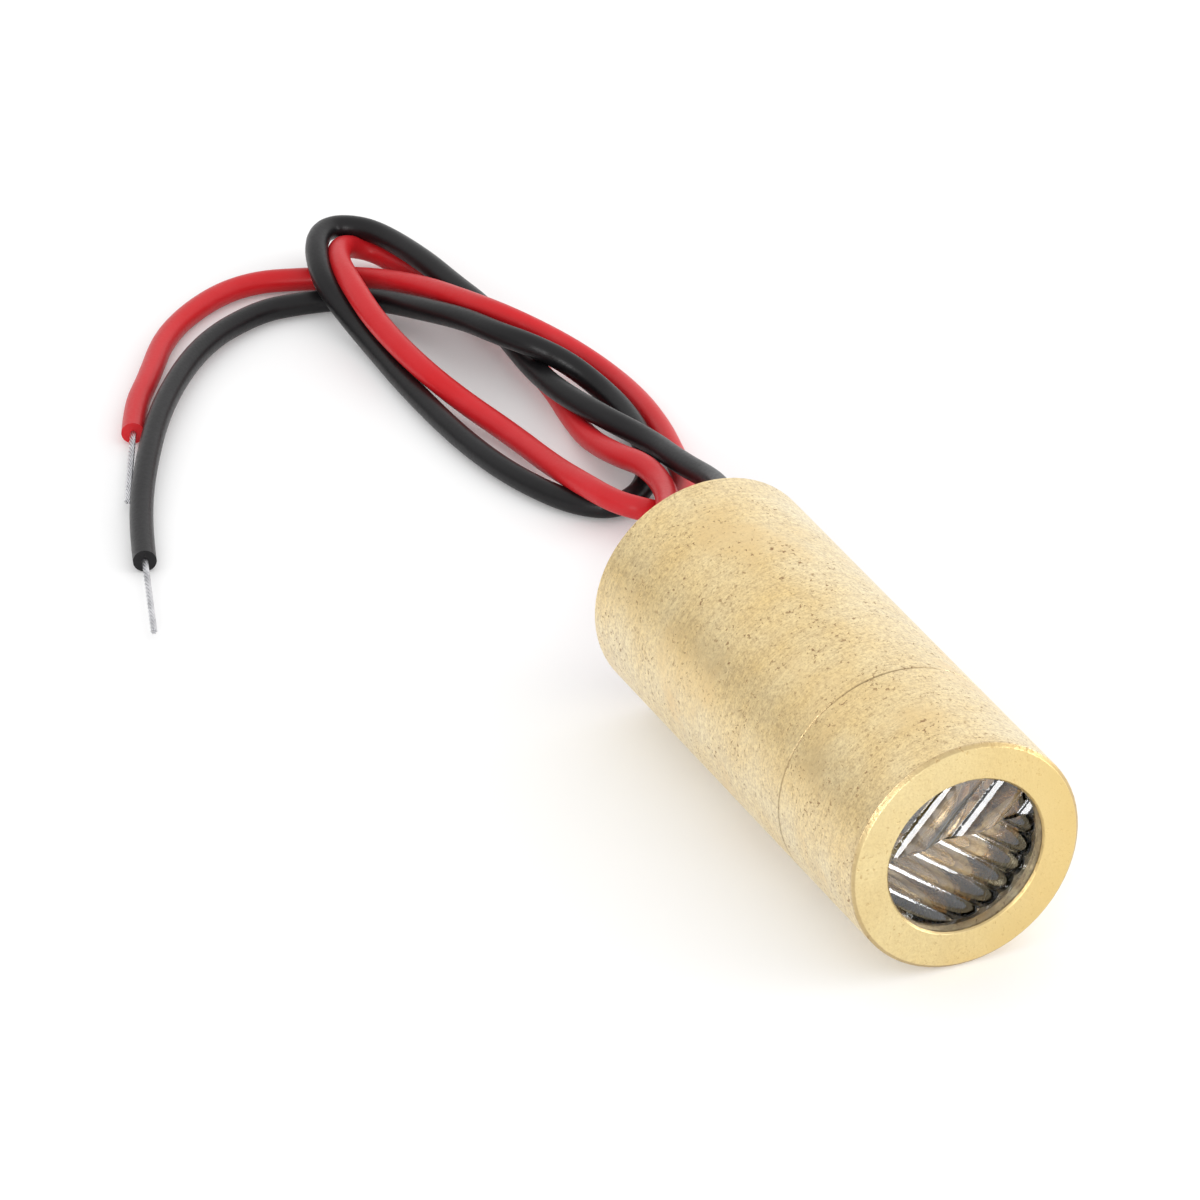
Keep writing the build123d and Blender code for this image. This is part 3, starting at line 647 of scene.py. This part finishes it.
def make_floor():
    """A white table top that shows almost plain white to the camera, to gloss and to glass, and
    keeps the module's shadow."""
    reach, white, glow_strength = 1.5, 0.86, 0.12
    places = [(x * reach, y * reach, floor_height) for x, y in ((-1, -1), (1, -1), (1, 1), (-1, 1))]
    mesh = bpy.data.meshes.new("table_top")
    mesh.from_pydata(places, [], [(0, 1, 2, 3)])
    floor = bpy.data.objects.new("table_top", mesh)
    bpy.context.scene.collection.objects.link(floor)
    material, tree, output = new_material("table_top")
    diffuse = node(tree, "ShaderNodeBsdfDiffuse", Color=(white, white, white, 1))
    glow = node(tree, "ShaderNodeEmission", Color=(1, 1, 1, 1))
    path = tree.nodes.new("ShaderNodeLightPath")
    seen = math_node(
        tree, "MAXIMUM", path.outputs["Is Camera Ray"], path.outputs["Is Glossy Ray"]
    )
    seen = math_node(tree, "MAXIMUM", seen, path.outputs["Is Transmission Ray"])
    tree.links.new(times(tree, seen, glow_strength), glow.inputs["Strength"])
    both = tree.nodes.new("ShaderNodeAddShader")
    tree.links.new(diffuse.outputs[0], both.inputs[0])
    tree.links.new(glow.outputs[0], both.inputs[1])
    tree.links.new(both.outputs[0], output.inputs["Surface"])
    mesh.materials.append(material)


def make_lamp(name, direction, distance, width, height, radiance, along=(0, 0, 1)):
    """A soft box of a given radiance that faces the origin from a direction and distance. Its
    height lies along the second direction."""
    data = bpy.data.lights.new(name, "AREA")
    data.shape = "RECTANGLE"
    data.size, data.size_y = width, height
    data.energy = radiance * np.pi * width * height
    lamp = bpy.data.objects.new(name, data)
    bpy.context.scene.collection.objects.link(lamp)
    toward = Vector(direction).normalized()
    across = Vector(along).cross(toward).normalized()
    turned = Matrix((across, toward.cross(across), toward)).transposed().to_4x4()
    lamp.matrix_world = Matrix.Translation(toward * distance) @ turned


def make_world():
    """A white tent, a little brighter toward plus Y, with a darker band low down toward minus Y."""
    world = bpy.data.worlds.new("tent")
    bpy.context.scene.world = world
    world.use_nodes = True
    tree = world.node_tree
    background = tree.nodes["Background"]
    bright, dark_share = 1.17, 0.55
    _, across, upward = object_axes(tree, tree.nodes.new("ShaderNodeTexCoord").outputs["Generated"])
    level = map_range(tree, across, 0.1, 0.65, 1.0, bright)
    side = map_range(tree, across, -0.5, -0.2, 1.0, 0.0)
    low = map_range(tree, upward, 0.1, 0.5, 1.0, 0.0)
    dim = times(tree, times(tree, side, low), dark_share)
    level = times(tree, level, math_node(tree, "SUBTRACT", 1.0, dim))
    shade = node(tree, "ShaderNodeCombineColor")
    for channel in ("Red", "Green", "Blue"):
        tree.links.new(level, shade.inputs[channel])
    tree.links.new(shade.outputs[0], background.inputs["Color"])
    background.inputs["Strength"].default_value = 1.0


bpy.context.scene.view_settings.view_transform = "Standard"
make_camera()
make_world()
make_floor()

# Soft boxes on the left and on the right of the picture, in metres
make_lamp(
    "left_softbox", direction=(0.78, -0.53, 0.3), distance=0.6, width=0.22, height=0.22,
    radiance=8.7,
)
make_lamp(
    "right_softbox", direction=(0.433, 0.883, 0.189), distance=0.15, width=0.084, height=0.024,
    radiance=11.0, along=(0, 0.788, -0.616),
)

dress_frame()
make_lens()

red_lead = make_lead("red_insulation", red_route, "red_pvc")
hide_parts("red_lead")
black_lead = make_lead("black_insulation", black_route, "black_pvc")
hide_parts("black_lead")
red_tip = make_tip("red_conductor", red_route, "red_lead_tip")
black_tip = make_tip("black_conductor", black_route, "black_lead_tip")
